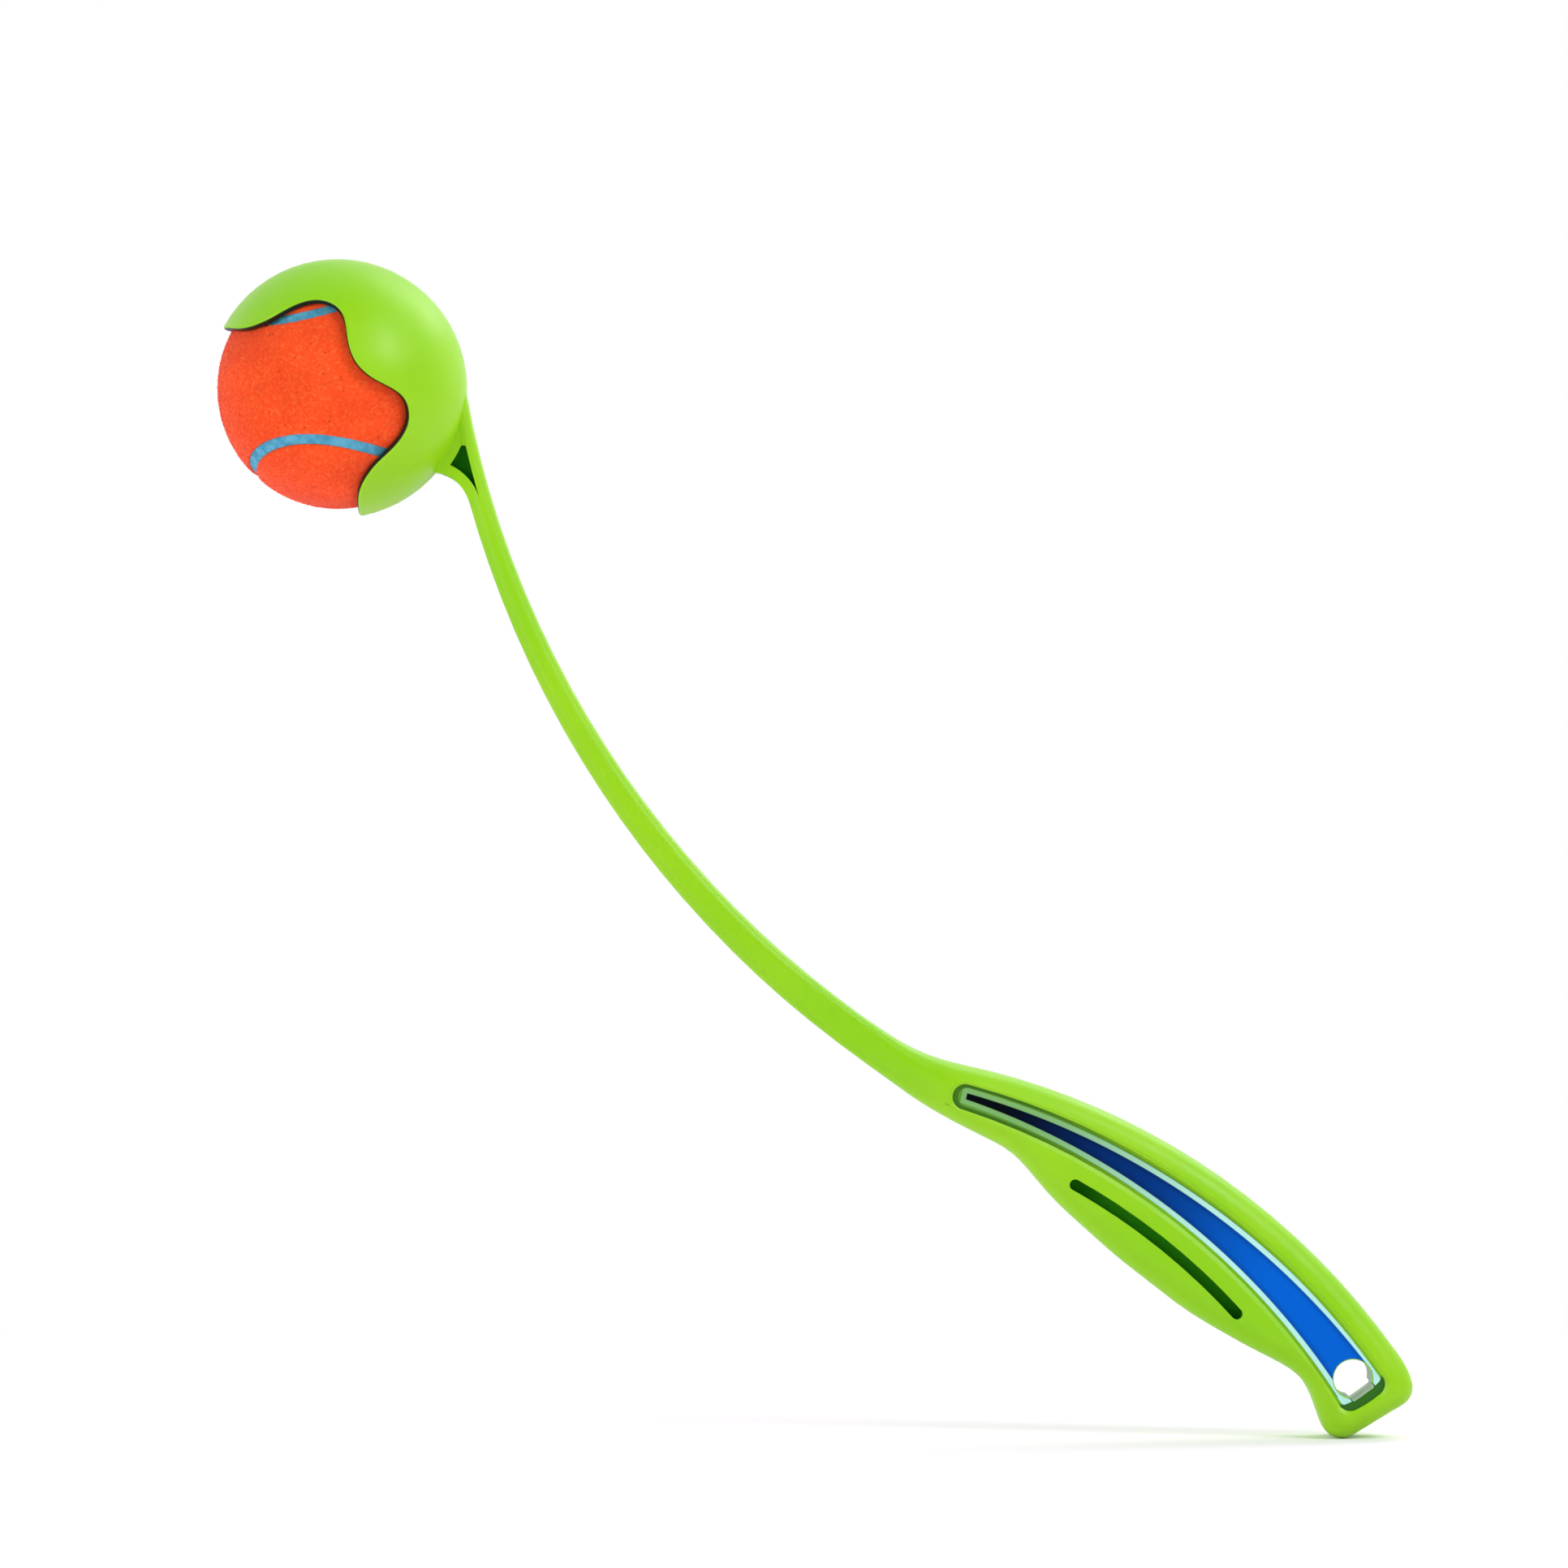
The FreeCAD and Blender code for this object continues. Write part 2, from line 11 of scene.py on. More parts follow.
import bpy
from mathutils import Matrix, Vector


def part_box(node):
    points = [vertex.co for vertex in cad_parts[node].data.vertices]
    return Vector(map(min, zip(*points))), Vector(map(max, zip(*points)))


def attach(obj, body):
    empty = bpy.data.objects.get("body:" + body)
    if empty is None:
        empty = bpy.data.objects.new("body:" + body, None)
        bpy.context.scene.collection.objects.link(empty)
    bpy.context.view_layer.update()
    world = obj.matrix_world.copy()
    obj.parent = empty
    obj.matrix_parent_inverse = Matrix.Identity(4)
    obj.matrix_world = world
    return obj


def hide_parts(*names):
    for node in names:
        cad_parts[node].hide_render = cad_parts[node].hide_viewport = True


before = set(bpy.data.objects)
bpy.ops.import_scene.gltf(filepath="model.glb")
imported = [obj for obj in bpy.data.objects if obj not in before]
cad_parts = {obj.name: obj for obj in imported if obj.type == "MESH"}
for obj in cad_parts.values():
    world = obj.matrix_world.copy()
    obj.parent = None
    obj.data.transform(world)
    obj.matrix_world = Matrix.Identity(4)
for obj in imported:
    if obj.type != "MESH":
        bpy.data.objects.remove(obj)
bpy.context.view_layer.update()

MM = 0.001

print("CAD nodes:", sorted(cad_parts))

# %% [markdown]
# ## The camera
#
# The photograph was taken square to the launcher's side, from a little over two metres, so the lens is
# long and the sides of the handle hardly show. One pixel of the photograph covers a known length at the
# launcher, and with the hang hole's pixel that is enough to place the camera. It could be placed by eye,
# but then the picture and the photograph would never quite line up.

# %% Place the camera
PHOTO_PIXELS = 1932
PIXEL_LENGTH = 0.2237 * MM
HOLE_PIXEL = (1663.7, 1695.5)
CAMERA_DISTANCE = 2.3
SENSOR_WIDTH = 36.0

middle_pixel = PHOTO_PIXELS / 2
view_centre = Vector((
    (middle_pixel - HOLE_PIXEL[0]) * PIXEL_LENGTH,
    0,
    (HOLE_PIXEL[1] - middle_pixel) * PIXEL_LENGTH,
))
view_width = PHOTO_PIXELS * PIXEL_LENGTH

camera_data = bpy.data.cameras.new("camera")
camera_data.sensor_width = SENSOR_WIDTH
camera_data.lens = SENSOR_WIDTH * CAMERA_DISTANCE / view_width
camera = bpy.data.objects.new("camera", camera_data)
camera.location = view_centre - Vector((0, CAMERA_DISTANCE, 0))
camera.rotation_euler = (math.radians(90), 0, 0)
bpy.context.scene.collection.objects.link(camera)
bpy.context.scene.camera = camera
print("lens", round(camera_data.lens, 1), "mm, picture", round(view_width, 4), "m wide")

# %% [markdown]
# ## The studio
#
# The real picture was made on a white sweep, with soft light from all round and a stronger light from
# the upper right, which leaves a thin shadow on the floor. Here a dim world gives the soft light, three
# area lamps give the direction, and the floor adds a little light of its own for the camera alone, so
# that it turns white and still keeps its shadow. Green light thrown back by the launcher would tint that
# shadow, so the floor's own colour holds a little less green and its glow a little more.
#
# The world is brighter behind the launcher than in front of it, as the white sweep was, which leaves a
# pale gloss along the rounded edges. Away from the launcher the floor is plain white to the camera, like
# the sky behind it, so no horizon shows.

# %% Helpers for node trees
def add(tree, kind, inputs=None, **settings):
    """Add one node to a tree, set its own settings, then fill its inputs by name or number."""
    node = tree.nodes.new(kind)
    for name, value in settings.items():
        setattr(node, name, value)
    for key, value in (inputs or {}).items():
        socket = node.inputs[key]
        if isinstance(value, bpy.types.NodeSocket):
            tree.links.new(value, socket)
        else:
            socket.default_value = value
    return node


def separate(tree, vector):
    """The three numbers of a vector."""
    return add(tree, "ShaderNodeSeparateXYZ", {0: vector}).outputs


def compute(tree, operation, *values):
    """The result of one Math node."""
    return add(tree, "ShaderNodeMath", dict(enumerate(values)), operation=operation).outputs[0]


def product(tree, first, *others):
    """Several values multiplied."""
    for other in others:
        first = compute(tree, "MULTIPLY", first, other)
    return first


def ramp(tree, value, low, high, first=0.0, second=1.0):
    """A smooth step from first to second, as a value goes from low to high."""
    inputs = {"Value": value, "From Min": low, "From Max": high, "To Min": first, "To Max": second}
    node = add(tree, "ShaderNodeMapRange", inputs, interpolation_type="SMOOTHSTEP", clamp=True)
    return node.outputs["Result"]


def mix_colours(tree, share, first, second):
    """A colour between two others."""
    node = add(tree, "ShaderNodeMix", data_type="RGBA")
    for socket, value in ((node.inputs[0], share), (node.inputs[6], first), (node.inputs[7], second)):
        if isinstance(value, bpy.types.NodeSocket):
            tree.links.new(value, socket)
        else:
            socket.default_value = value
    return node.outputs[2]


def new_material(name):
    """An empty material with its output node."""
    material = bpy.data.materials.new(name)
    material.use_nodes = True
    tree = material.node_tree
    tree.nodes.clear()
    output = tree.nodes.new("ShaderNodeOutputMaterial")
    return material, tree, output


def colour(red, green, blue):
    """A colour from the values that a picture editor shows, as light, by the sRGB curve."""
    def to_light(value):
        share = value / 255
        return share / 12.92 if share < 0.04 else ((share + 0.055) / 1.055) ** 2.4
    return (to_light(red), to_light(green), to_light(blue), 1.0)


# %% World and floor
WORLD_IN_FRONT = 0.17
WORLD_BEHIND = 1.1
WORLD_FRONT_EDGE = -0.4
WORLD_BACK_EDGE = 0.6
FLOOR_SIZE = 14.0
FLOOR_TINT = (0.92, 0.83, 0.93, 1)
FLOOR_GLOW = 0.13
GLOW_TINT = (0.6, 1.0, 0.6, 1)
SHADOW_REACH = 0.26
WHITE = (1, 1, 1, 1)

world = bpy.data.worlds.new("studio")
world.use_nodes = True
world_tree = world.node_tree
world_tree.nodes.clear()
world_output = world_tree.nodes.new("ShaderNodeOutputWorld")
world_path = world_tree.nodes.new("ShaderNodeLightPath")
world_place = world_tree.nodes.new("ShaderNodeTexCoord").outputs["Generated"]
backward = separate(world_tree, world_place)[1]
world_edges = (WORLD_FRONT_EDGE, WORLD_BACK_EDGE)
world_level = ramp(world_tree, backward, *world_edges, WORLD_IN_FRONT, WORLD_BEHIND)
world_light = ramp(world_tree, world_path.outputs["Is Camera Ray"], 0.0, 1.0, world_level, 1.0)
background = add(world_tree, "ShaderNodeBackground", {"Color": WHITE, "Strength": world_light})
world_tree.links.new(background.outputs[0], world_output.inputs[0])
bpy.context.scene.world = world

floor_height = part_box("launcher_wand")[0].z
half = FLOOR_SIZE / 2
corners = [(-half, -half), (half, -half), (half, half), (-half, half)]
floor_mesh = bpy.data.meshes.new("floor")
floor_mesh.from_pydata([(x, y, floor_height) for x, y in corners], [], [(0, 1, 2, 3)])
floor = bpy.data.objects.new("floor", floor_mesh)
bpy.context.scene.collection.objects.link(floor)

floor_material, tree, output = new_material("floor_white")
path = tree.nodes.new("ShaderNodeLightPath")
glow = product(tree, path.outputs["Is Camera Ray"], FLOOR_GLOW)
matt = add(tree, "ShaderNodeBsdfDiffuse", {"Color": FLOOR_TINT})
lit = add(tree, "ShaderNodeEmission", {"Color": GLOW_TINT, "Strength": glow})
near = add(tree, "ShaderNodeAddShader", {0: matt.outputs[0], 1: lit.outputs[0]})
far = add(tree, "ShaderNodeEmission", {"Color": WHITE, "Strength": 1.0})
floor_place = tree.nodes.new("ShaderNodeTexCoord").outputs["Object"]
floor_middle = (view_centre.x, 0, floor_height)
from_middle = add(tree, "ShaderNodeVectorMath", {0: floor_place, 1: floor_middle}, operation="DISTANCE")
outer = ramp(tree, from_middle.outputs["Value"], SHADOW_REACH, 2 * SHADOW_REACH)
beyond = product(tree, outer, path.outputs["Is Camera Ray"])
both = add(tree, "ShaderNodeMixShader", {0: beyond, 1: near.outputs[0], 2: far.outputs[0]})
tree.links.new(both.outputs[0], output.inputs[0])
floor_mesh.materials.append(floor_material)
print("floor at", round(floor_height, 4))


# %% Lamps
# Each lamp's name, place from the middle of the picture, width and power in watts
LAMPS = [
    ("lamp_upper_right", (1.2, -0.9, 1.2), 0.9, 20.0),
    ("lamp_behind", (0.8, 0.9, 1.2), 1.0, 8.0),
    ("lamp_left", (-1.5, -1.4, 0.5), 1.2, 19.0),
]


def area_lamp(name, place, size, power):
    """A square soft lamp that looks at the middle of the launcher."""
    data = bpy.data.lights.new(name, "AREA")
    data.size = size
    data.energy = power
    lamp = bpy.data.objects.new(name, data)
    lamp.location = view_centre + Vector(place)
    lamp.rotation_euler = Vector(place).to_track_quat("Z", "Y").to_euler()
    bpy.context.scene.collection.objects.link(lamp)
    print(name, "at", place, power, "W")


for lamp_values in LAMPS:
    area_lamp(*lamp_values)
bpy.context.scene.view_settings.view_transform = "Standard"

# %% [markdown]
# ## Moulded lime plastic
#
# The launcher is one piece of polypropylene, coloured all through and a little waxy, with a fine satin
# grain from the mould. The CAD node already has the shape, so it keeps its own mesh and only gets the
# finish. Light sinks a little way into such plastic, which a small amount of subsurface shows.
#
# The grip grooves, the neck's pockets, the gap round a label and the inner edge of the cup's rim get
# painted shade: the colour deepens there to stand for the shade that falls in them. A darker material
# could be put on those faces, but the CAD mesh stays whole, so the place of each shaded point decides
# instead. The wall of the hang hole gets a painted reflection in the same way, a pale grey-green.

# %% Sizes of the handle that the finishes follow
HANDLE_RADIUS = 195.1 * MM
HOLE_ANGLE = 35.5
HOLE_DEPTH = 14.1 * MM
HANDLE_HALF_WIDTH = 12.0 * MM


def direction(degrees):
    """Unit vector in the side plane, from +X towards +Z."""
    angle = math.radians(degrees)
    return Vector((math.cos(angle), 0, math.sin(angle)))


HANDLE_CENTRE = direction(HOLE_ANGLE) * (HOLE_DEPTH - HANDLE_RADIUS)


def at_depth(degrees, depth):
    """Point in the side plane, at a depth below the back of the handle."""
    return HANDLE_CENTRE + direction(degrees) * (HANDLE_RADIUS - depth)


def circle_through(first, second, third):
    """Centre and radius of the circle through three points of the side plane."""
    ax, az, bx, bz, cx, cz = first.x, first.z, second.x, second.z, third.x, third.z
    twice = 2 * (ax * (bz - cz) + bx * (cz - az) + cx * (az - bz))
    a, b, c = ax**2 + az**2, bx**2 + bz**2, cx**2 + cz**2
    x = (a * (bz - cz) + b * (cz - az) + c * (az - bz)) / twice
    z = (a * (cx - bx) + b * (ax - cx) + c * (bx - ax)) / twice
    centre = Vector((x, 0, z))
    return centre, (first - centre).length


print("centre of the handle's back:", [round(value, 4) for value in HANDLE_CENTRE])

# %% Helpers that measure places on the launcher
def object_place(tree):
    """The place of the shaded point."""
    return tree.nodes.new("ShaderNodeTexCoord").outputs["Object"]


def distance_in_side(tree, x, z, point):
    """Distance in the side plane from the shaded point to a fixed one."""
    along = compute(tree, "SUBTRACT", x, point.x)
    up = compute(tree, "SUBTRACT", z, point.z)
    square = compute(tree, "ADD", product(tree, along, along), product(tree, up, up))
    return compute(tree, "SQRT", square)


def distance_to(tree, place, point):
    """Distance in space from the shaded point to a fixed one."""
    node = add(tree, "ShaderNodeVectorMath", {0: place, 1: tuple(point)}, operation="DISTANCE")
    return node.outputs["Value"]


def noise(tree, place, size, detail=3.0, roughness=0.5):
    """Noise whose lumps are about one size across."""
    inputs = {"Vector": place, "Scale": 1 / size, "Detail": detail, "Roughness": roughness}
    return add(tree, "ShaderNodeTexNoise", inputs).outputs["Fac"]


def angle_on_handle(tree, x, z):
    """Angle of the shaded point about the centre of the handle's back, in degrees."""
    along_x = compute(tree, "SUBTRACT", x, HANDLE_CENTRE.x)
    along_z = compute(tree, "SUBTRACT", z, HANDLE_CENTRE.z)
    return compute(tree, "DEGREES", compute(tree, "ARCTAN2", along_z, along_x))


# The recess that holds the label: its edges are depths below the back, at three angles on the handle
RECESS_FRONT_ANGLE = 78.4
RECESS_FRONT_DEPTH = 8.1 * MM
RECESS_FRONT_RADIUS = 3.5 * MM
RECESS_MIDDLE_ANGLE = 56.0
RECESS_MIDDLE_TOP = 6.7 * MM
RECESS_MIDDLE_BOTTOM = 17.3 * MM
RECESS_END_ANGLE = 33.3
RECESS_END_TOP = 7.0 * MM
RECESS_END_BOTTOM = 21.4 * MM
FRONT_GAP = 1.5 * MM
SIDE_GAP = 0.8 * MM
END_GAP = 2.7 * MM

# The long sides of the label are two circles, from its round front end to its end by the hang hole
front_line_radius = HANDLE_RADIUS - RECESS_FRONT_DEPTH
label_radius = RECESS_FRONT_RADIUS - SIDE_GAP
label_start = RECESS_FRONT_ANGLE - math.degrees((label_radius + FRONT_GAP) / front_line_radius)
label_end = RECESS_END_ANGLE + math.degrees(END_GAP / HANDLE_RADIUS)
front_place = at_depth(label_start, RECESS_FRONT_DEPTH)
upper_side = circle_through(
    front_place + direction(label_start) * label_radius,
    at_depth(RECESS_MIDDLE_ANGLE, RECESS_MIDDLE_TOP + SIDE_GAP),
    at_depth(label_end, RECESS_END_TOP + SIDE_GAP),
)
lower_side = circle_through(
    front_place - direction(label_start) * label_radius,
    at_depth(RECESS_MIDDLE_ANGLE, RECESS_MIDDLE_BOTTOM - SIDE_GAP),
    at_depth(label_end, RECESS_END_BOTTOM - SIDE_GAP),
)


def inside_circles(tree, x, z, upper, lower):
    """How far the shaded point lies inside two long sides, which are circles."""
    below_upper = compute(tree, "SUBTRACT", upper[1], distance_in_side(tree, x, z, upper[0]))
    above_lower = compute(tree, "SUBTRACT", distance_in_side(tree, x, z, lower[0]), lower[1])
    return compute(tree, "MINIMUM", below_upper, above_lower)


print("label sides of radius", round(upper_side[1], 4), round(lower_side[1], 4))

# %% Where shade and a reflection are painted on the plastic
GROOVE_POINTS = [at_depth(65.8, 21.5 * MM), at_depth(56.0, 24.1 * MM), at_depth(46.8, 26.4 * MM)]
GROOVE_HALF_WIDTH = 1.55 * MM
NECK_POCKET = Vector((-244.0 * MM, 0, 251.5 * MM))
NECK_POCKET_RADIUS = 6.5 * MM
NECK_HALF_WIDTH = 6.0 * MM
ARM_CENTRE = Vector((26.08 * MM, 0, 318.58 * MM))
ARM_TO_POCKET = 276.4 * MM
CUP_CENTRE = Vector((-279.06 * MM, 0, 272.16 * MM))
CUP_INNER_RADIUS = 33.35 * MM
HOLE_CENTRE = Vector((0, 0, 0))
HOLE_REACH = 7.5 * MM

# The painted shade on the cup's rim comes in between the first two of these distances past the cup's
# inner radius, and goes out between the last two
RIM_SHADE = (0.02 * MM, 0.1 * MM, 1.75 * MM, 2.05 * MM)

# How far past the label's sides the painted shade of the gap reaches, and how soft its edge is
GAP_REACH = 0.9 * MM
GAP_BLUR = 0.15 * MM


def sunk(tree, inward, half_width, shallow, deep):
    """0 less than shallow below the launcher's side, and 1 more than deep below it."""
    return ramp(tree, inward, half_width - shallow, half_width - deep)


def groove_painted_shade(tree, x, z, inward):
    """Where shade is painted: 1 inside the grip grooves, 0 elsewhere."""
    centre, radius = circle_through(*GROOVE_POINTS)
    from_line = compute(tree, "SUBTRACT", distance_in_side(tree, x, z, centre), radius)
    off_line = compute(tree, "ABSOLUTE", from_line)
    in_slot = ramp(tree, off_line, 1.2 * GROOVE_HALF_WIDTH, 1.05 * GROOVE_HALF_WIDTH)
    reach = (GROOVE_POINTS[2] - GROOVE_POINTS[0]).length / 2 + 2 * GROOVE_HALF_WIDTH
    middle = (GROOVE_POINTS[0] + GROOVE_POINTS[2]) / 2
    near = ramp(tree, distance_in_side(tree, x, z, middle), 1.02 * reach, reach)
    return product(tree, in_slot, near, sunk(tree, inward, HANDLE_HALF_WIDTH, 0.1 * MM, 1.8 * MM))


def pocket_painted_shade(tree, x, z, inward):
    """Where shade is painted: 1 inside the neck's pockets, 0 elsewhere."""
    from_pocket = distance_in_side(tree, x, z, NECK_POCKET)
    near = ramp(tree, from_pocket, 1.1 * NECK_POCKET_RADIUS, NECK_POCKET_RADIUS)
    from_arm = distance_in_side(tree, x, z, ARM_CENTRE)
    under_arm = ramp(tree, from_arm, ARM_TO_POCKET - 0.2 * MM, ARM_TO_POCKET + 0.2 * MM)
    return product(tree, near, under_arm, sunk(tree, inward, NECK_HALF_WIDTH, 0.1 * MM, 1.6 * MM))


def recess_painted_shade(tree, x, z, inward):
    """How much shade is painted in the gap round the label: most at its front end and by the butt."""
    inside = inside_circles(tree, x, z, upper_side, lower_side)
    around = ramp(tree, inside, -GAP_REACH - GAP_BLUR, -GAP_REACH)
    angle = angle_on_handle(tree, x, z)
    at_front = ramp(tree, angle, RECESS_MIDDLE_ANGLE, RECESS_FRONT_ANGLE - 4.4, 0.1, 0.9)
    at_butt = ramp(tree, angle, RECESS_END_ANGLE + 1.3, RECESS_END_ANGLE + 0.7)
    share = compute(tree, "MAXIMUM", at_front, at_butt)
    before_end = ramp(tree, angle, RECESS_END_ANGLE - 0.45, RECESS_END_ANGLE - 0.3)
    past_start = ramp(tree, angle, RECESS_FRONT_ANGLE + 0.6, RECESS_FRONT_ANGLE + 0.2)
    in_recess = sunk(tree, inward, HANDLE_HALF_WIDTH, 0.6 * MM, 0.9 * MM)
    return product(tree, around, in_recess, share, before_end, past_start)


def rim_painted_shade(tree, place):
    """Painted shade: 1 on the inner half of the cup's rim, 0 on the inside of the cup and elsewhere."""
    past_inside = compute(tree, "SUBTRACT", distance_to(tree, place, CUP_CENTRE), CUP_INNER_RADIUS)
    comes_in = ramp(tree, past_inside, RIM_SHADE[0], RIM_SHADE[1])
    goes_out = ramp(tree, past_inside, RIM_SHADE[3], RIM_SHADE[2])
    return product(tree, comes_in, goes_out)


def hole_wall_painted_reflection(tree, x, z, inward):
    """Where a pale reflection is painted: 1 on the wall of the hang hole, 0 elsewhere."""
    near = ramp(tree, distance_in_side(tree, x, z, HOLE_CENTRE), HOLE_REACH + 0.1 * MM, HOLE_REACH)
    return product(tree, near, sunk(tree, inward, HANDLE_HALF_WIDTH, 1.25 * MM, 1.4 * MM))


# %% The plastic
LIME = colour(140, 210, 8)
LIME_WARM = colour(150, 214, 14)
# Painted shade in the grip grooves
LIME_GROOVE_PAINTED_SHADE = colour(52, 170, 5)
# Painted shade in the neck's pockets
LIME_POCKET_PAINTED_SHADE = colour(34, 148, 3)
# Painted shade in the gap round the label
LIME_GAP_PAINTED_SHADE = colour(40, 108, 4)
# Painted shade on the inner half of the cup's rim
LIME_RIM_PAINTED_SHADE = colour(14, 30, 4)
# Painted reflection: a pale grey-green on the hang hole's wall
LIME_HOLE_PAINTED_REFLECTION = colour(176, 212, 168)


def plastic_material():
    """Lime plastic, with painted shade and one painted reflection."""
    material, tree, output = new_material("lime_plastic")
    place = object_place(tree)
    x, y, z = separate(tree, place)
    inward = compute(tree, "ABSOLUTE", y)

    flow = noise(tree, place, 60 * MM)
    base = mix_colours(tree, ramp(tree, flow, 0.35, 0.65), LIME, LIME_WARM)
    # Painted shade in the gap round the label
    base = mix_colours(tree, recess_painted_shade(tree, x, z, inward), base, LIME_GAP_PAINTED_SHADE)
    # Painted shade in the grip grooves and the neck's pockets
    in_groove = groove_painted_shade(tree, x, z, inward)
    in_pocket = pocket_painted_shade(tree, x, z, inward)
    deep = compute(tree, "MAXIMUM", in_groove, in_pocket)
    base = mix_colours(tree, in_groove, base, LIME_GROOVE_PAINTED_SHADE)
    base = mix_colours(tree, in_pocket, base, LIME_POCKET_PAINTED_SHADE)
    # Painted shade on the inner half of the cup's rim
    base = mix_colours(tree, rim_painted_shade(tree, place), base, LIME_RIM_PAINTED_SHADE)
    # Painted reflection: a pale grey-green on the hang hole's wall
    base = mix_colours(tree, hole_wall_painted_reflection(tree, x, z, inward), base, LIME_HOLE_PAINTED_REFLECTION)

    smears = noise(tree, place, 14 * MM, 4.0)
    satin = ramp(tree, smears, 0.3, 0.7, 0.36, 0.46)
    grain = noise(tree, place, 0.6 * MM, 2.0)
    bump = add(tree, "ShaderNodeBump", {"Strength": 0.05, "Distance": 0.03 * MM, "Height": grain})
    inputs = {
        "Base Color": base,
        "Roughness": compute(tree, "MAXIMUM", satin, product(tree, deep, 0.9)),
        "IOR": 1.49,
        "Specular IOR Level": 0.3,
        "Subsurface Weight": 0.08,
        "Subsurface Radius": (0.6, 1.0, 0.15),
        "Subsurface Scale": 1.5 * MM,
        "Normal": bump.outputs[0],
    }
    shader = add(tree, "ShaderNodeBsdfPrincipled", inputs)
    tree.links.new(shader.outputs[0], output.inputs[0])
    return material


def dress(node, material):
    """Give a CAD node its finish, in every material slot that it has."""
    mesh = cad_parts[node].data
    for index in range(len(mesh.materials)):
        mesh.materials[index] = material
    if not mesh.materials:
        mesh.materials.append(material)


dress("launcher_wand", plastic_material())
print("plastic on launcher_wand")

# %% [markdown]
# ## The printed labels
#
# A film label lies in the recess on each side. Its print is a long blue flash, nearly black at the arm
# and bright near the hang hole, with a pale line all round it and a clear margin beyond, through which
# the green shows. Towards the arm the black of the flash and the dullness of the line are partly their
# own colour and partly painted shade, and painted shade also darkens the flash along its edges and the
# green in the margin. Beside the hang hole the print stops and the pale line goes on round it. A picture
# could hold that, but a few distances do it without one: the long sides are circles, so how far a point
# lies inside each circle says whether it is margin, line or print.

# %% The print on the labels
# The darkest ink is partly the print's own colour and partly painted shade
INK_BLACK_AND_PAINTED_SHADE = colour(0, 6, 14)
INK_NAVY = colour(0, 50, 122)
INK_BRIGHT = colour(0, 98, 208)
# The dull line near the arm is partly its own colour and partly painted shade
EDGE_DULL_AND_PAINTED_SHADE = colour(122, 178, 104)
EDGE_PALE = colour(182, 240, 228)
EDGE_WIDTH = 1.35 * MM
# The green seen through the clear margin, darkened by painted shade
MARGIN_GREEN_PAINTED_SHADE = colour(92, 150, 46)
PRINT_BLUR = 0.15 * MM

# The angles on the handle between which one colour gives way to the next; black to navy and dull to pale
# also fade out painted shade
BLACK_TO_NAVY = (75.0, 58.5)
NAVY_TO_BRIGHT = (62.0, 45.0)
DULL_TO_PALE = (73.0, 50.0)

# The upper and lower side of the blue print: angles on the handle, and depths there below its back
PRINT_TOP = [(77.0, 7.0 * MM), (60.0, 9.0 * MM), (42.0, 9.1 * MM)]
PRINT_BOTTOM = [(77.0, 8.8 * MM), (60.0, 14.1 * MM), (42.0, 18.0 * MM)]
PRINT_FRONT = 77.25
PRINT_END = 35.0

print_upper = circle_through(*[at_depth(*point) for point in PRINT_TOP])
print_lower = circle_through(*[at_depth(*point) for point in PRINT_BOTTOM])


def label_material():
    """Film with its print: margin, pale line and blue flash, with painted shade on each."""
    material, tree, output = new_material("printed_film")
    place = object_place(tree)
    parts = separate(tree, place)
    x, z = parts[0], parts[2]
    angle = angle_on_handle(tree, x, z)
    inside = inside_circles(tree, x, z, print_upper, print_lower)
    degree_length = math.radians(1.0) * front_line_radius
    from_front = product(tree, compute(tree, "SUBTRACT", PRINT_FRONT, angle), degree_length)
    inside = compute(tree, "MINIMUM", inside, from_front)
    past_end = ramp(tree, angle, PRINT_END + 0.05, PRINT_END - 0.05)
    is_print = compute(tree, "SUBTRACT", ramp(tree, inside, -PRINT_BLUR, PRINT_BLUR), past_end)
    is_edge = ramp(tree, inside, -EDGE_WIDTH - PRINT_BLUR, -EDGE_WIDTH + PRINT_BLUR)
    is_edge = compute(tree, "MAXIMUM", is_edge, past_end)

    # The flash darkens towards the arm: partly its own colour and partly painted shade
    ink = mix_colours(tree, ramp(tree, angle, *BLACK_TO_NAVY), INK_BLACK_AND_PAINTED_SHADE, INK_NAVY)
    ink = mix_colours(tree, ramp(tree, angle, *NAVY_TO_BRIGHT), ink, INK_BRIGHT)
    # Painted shade along the edges of the flash
    ink = mix_colours(tree, ramp(tree, inside, 1.8 * MM, 0.2 * MM, 0.0, 0.3), ink, INK_BLACK_AND_PAINTED_SHADE)
    # The pale line dulls towards the arm: partly its own colour and partly painted shade
    edge = mix_colours(tree, ramp(tree, angle, *DULL_TO_PALE), EDGE_DULL_AND_PAINTED_SHADE, EDGE_PALE)
    # The green seen through the margin, in painted shade
    edge = mix_colours(tree, is_edge, MARGIN_GREEN_PAINTED_SHADE, edge)
    base = mix_colours(tree, is_print, edge, ink)

    inputs = {
        "Base Color": base,
        "Roughness": ramp(tree, noise(tree, place, 9 * MM), 0.3, 0.7, 0.34, 0.44),
        "IOR": 1.5,
        "Specular IOR Level": 0.05,
    }
    shader = add(tree, "ShaderNodeBsdfPrincipled", inputs)
    tree.links.new(shader.outputs[0], output.inputs[0])
    return material


label_film = label_material()
dress("label_front", label_film)
dress("label_back", label_film)
print("print on both labels, sides of radius", round(print_upper[1], 4), round(print_lower[1], 4))

